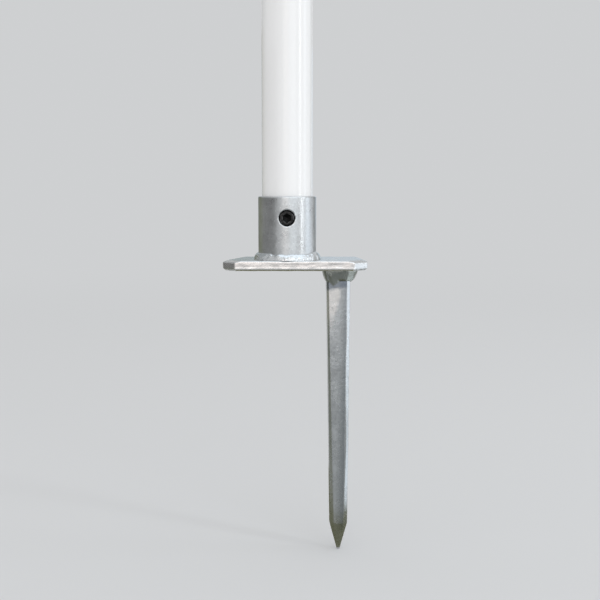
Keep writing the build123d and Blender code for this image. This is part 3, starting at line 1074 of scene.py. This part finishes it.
def flag_pieces():
    doubled = cloth_material("flag_cloth_doubled", 0.9)
    panel, coarse = draped_panel()
    rows = wrinkled(finer(coarse, PANEL_FINE))
    panel_piece(panel, rows, cloth_material("flag_cloth"), doubled)
    stitches = stitches_piece(rows)
    sleeve = sleeve_piece()
    give(sleeve, doubled)
    sleeve_girth()


def sleeve_outline():
    """The sleeve's loop in plan, from its seam round the pole and back."""
    lean = math.acos(SLEEVE_RADIUS / SEAM_REACH)

    def on_pole(angle):
        return SLEEVE_RADIUS * Vector((math.cos(angle), math.sin(angle)))

    steps = range(SLEEVE_RUN)
    seam = Vector((SEAM_REACH, SLEEVE_SEAM))
    outline = [seam.lerp(on_pole(lean), k / SLEEVE_RUN) for k in steps]
    for k in range(SLEEVE_TURNS + 1):
        outline.append(on_pole(lean + (2 * math.pi - 2 * lean) * k / SLEEVE_TURNS))
    seam = Vector((SEAM_REACH, -SLEEVE_SEAM))
    return outline + [on_pole(-lean).lerp(seam, (k + 1) / SLEEVE_RUN) for k in steps]


def sleeve_girth():
    outline = sleeve_outline()
    return sum((b - a).length for a, b in zip(outline, outline[1:]))


def sleeve_piece():
    """The sleeve round the pole, with slack wrinkles, hemmed at its foot."""
    low, high = (corner.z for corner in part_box("flag_sleeve"))
    outline = sleeve_outline()
    rows, thickness = [], []
    for i in range(SLEEVE_LEVELS + 1):
        z = low + (high - low) * i / SLEEVE_LEVELS
        ends = clamp(min(z - low, high - z) / SLEEVE_ENDS)
        row = []
        for point in outline:
            out = Vector((point.x, point.y, 0)).normalized()
            slack = 0.3 + 0.7 * max(0.0, point.x / SEAM_REACH)
            place = Vector((point.x, point.y, z * 0.55))
            slant = Vector((point.x, point.y, (z + 0.9 * point.x) * 1.5))
            ripple = waves(place, 16 * MM, 1.5 * MM, 6.1) + waves(slant, 9 * MM, 0.9 * MM, 8.4)
            # The seam holds the loop's ends
            held = 1.0 if point.x < 0.85 * SEAM_REACH else 0.0
            row.append(Vector((point.x, point.y, z)) + out * max(0.0, ripple) * slack * ends * held)
            thickness.append(CLOTH + HEM_EXTRA * hemmed(z - low))
        rows.append(row)
    sleeve = link("flag_sleeve_cloth", thick_sheet("flag_sleeve_cloth", rows, thickness))
    shade_smooth(sleeve)
    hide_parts("flag_sleeve")
    return sleeve


def cap_piece():
    """The domed cap, turned as one smooth profile."""
    low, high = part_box("pole_cap")
    radius = (high.x - low.x) / 2
    rim = high.z - CAP_DOME
    foot = rim - CAP_BAND
    profile = [(CAP_SPIGOT_RADIUS, foot - CAP_SPIGOT), (CAP_SPIGOT_RADIUS, foot)]
    profile += [(radius - 0.45 * MM, foot), (radius - 0.12 * MM, foot + 0.12 * MM)]
    profile += [(radius, foot + 0.5 * MM)]
    for k in range(CAP_STEPS + 1):
        angle = math.pi / 2 * k / CAP_STEPS
        profile.append((radius * math.cos(angle), rim + CAP_DOME * math.sin(angle)))
    turns = [2 * math.pi * k / CAP_SIDES for k in range(CAP_SIDES)]
    rows = []
    for r, z in profile:
        r = max(r, PINHOLE)
        rows.append([(r * math.cos(turn), r * math.sin(turn), z) for turn in turns])
    cap = link("pole_cap_domed", grid_mesh("pole_cap_domed", rows, closed=True))
    close_ends(cap)
    shade_smooth(cap)
    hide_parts("pole_cap")
    give(cap, cap_material())


# Studio


def make_camera():
    data = bpy.data.cameras.new("camera")
    data.sensor_width = SENSOR_WIDTH
    data.lens = FOCAL_PIXELS * SENSOR_WIDTH / PHOTO_SIZE
    data.clip_start = 0.01
    data.clip_end = 100.0
    camera = link("camera", data)
    camera.location = CAMERA_PLACE
    camera.rotation_euler = (math.radians(90 - CAMERA_PITCH), 0, 0)
    bpy.context.scene.camera = camera


def put_facing(piece, place, aim):
    """Moves a lamp or a card to its place and turns it to face a point."""
    piece.location = place
    piece.rotation_euler = (Vector(aim) - Vector(place)).to_track_quat("-Z", "Y").to_euler()


def soft_box(name, place, aim, width, height, radiance, tint):
    """A rectangular lamp that looks this bright from the object."""
    data = bpy.data.lights.new(name, "AREA")
    data.shape = "RECTANGLE"
    data.size = width
    data.size_y = height
    data.energy = radiance * math.pi * width * height
    data.color = tint
    lamp = link(name, data)
    put_facing(lamp, place, aim)
    lamp.visible_camera = False


def mirror_card(name, place, aim, width, height, radiance):
    """A plain card that only reflections show, this bright."""
    w, h = width / 2, height / 2
    corners = [(-w, -h, 0), (w, -h, 0), (w, h, 0), (-w, h, 0)]
    card = link(name, mesh_of(name, corners, [(0, 1, 2, 3)]))
    put_facing(card, place, aim)
    card.visible_camera = False
    card.visible_diffuse = False
    card.visible_transmission = False
    card.visible_volume_scatter = False
    card.visible_shadow = False
    shader = Shader(name)
    shader.show(shader.add("ShaderNodeEmission", {"Color": (*radiance, 1), "Strength": 1.0}))
    card.data.materials.append(shader.material)


def make_world():
    """Even light all round, which shows as the plain background where it is looked at."""
    world = bpy.data.worlds.new("studio")
    bpy.context.scene.world = world
    world.use_nodes = True
    nodes, links = world.node_tree.nodes, world.node_tree.links
    nodes.clear()
    path = nodes.new("ShaderNodeLightPath")
    seen = path.outputs["Is Camera Ray"]
    for kind in ("Is Glossy Ray", "Is Transmission Ray"):
        either = nodes.new("ShaderNodeMath")
        either.operation = "MAXIMUM"
        links.new(seen, either.inputs[0])
        links.new(path.outputs[kind], either.inputs[1])
        seen = either.outputs[0]
    mix = nodes.new("ShaderNodeMixShader")
    links.new(seen, mix.inputs[0])
    for number, colour in ((1, (AMBIENT, AMBIENT, AMBIENT)), (2, BACKGROUND)):
        light = nodes.new("ShaderNodeBackground")
        light.inputs["Color"].default_value = (*colour, 1)
        links.new(light.outputs[0], mix.inputs[number])
    links.new(mix.outputs[0], nodes.new("ShaderNodeOutputWorld").inputs["Surface"])


def make_floor():
    """A pale floor that turns into the plain background well away from the object."""
    half = FLOOR_SIZE / 2
    level = cad_box[0].z
    corners = [(-half, -half, level), (half, -half, level), (half, half, level), (-half, half, level)]
    floor = link("floor", mesh_of("floor", corners, [(0, 1, 2, 3)]))
    shader = Shader("floor")
    away = shader.length(shader.stretched(1, 1, 0))
    share = shader.add(
        "ShaderNodeMapRange",
        {"Value": away, "From Min": FLOOR_NEAR, "From Max": FLOOR_FAR},
        interpolation_type="SMOOTHERSTEP",
    ).outputs["Result"]
    diffuse = shader.add("ShaderNodeBsdfDiffuse", {"Color": (*FLOOR_ALBEDO, 1)})
    glow = shader.add("ShaderNodeEmission", {"Color": (*BACKGROUND, 1), "Strength": 1.0})
    surfaces = {0: share, 1: diffuse.outputs[0], 2: glow.outputs[0]}
    shader.show(shader.add("ShaderNodeMixShader", surfaces))
    floor.data.materials.append(shader.material)


def make_studio():
    make_world()
    make_floor()
    for name, turn, distance, rise, width, height, radiance, tint in LAMPS:
        angle = math.radians(turn)
        place = (distance * math.sin(angle), -distance * math.cos(angle), rise)
        soft_box(name, place, (0, 0, rise), width, height, radiance, tint)
    for card in CARDS:
        mirror_card(*card)


make_camera()
steel_pieces()
pole_piece()
screw_piece()
cap_piece()
flag_pieces()
make_studio()

scene = bpy.context.scene
scene.view_settings.view_transform = "Standard"
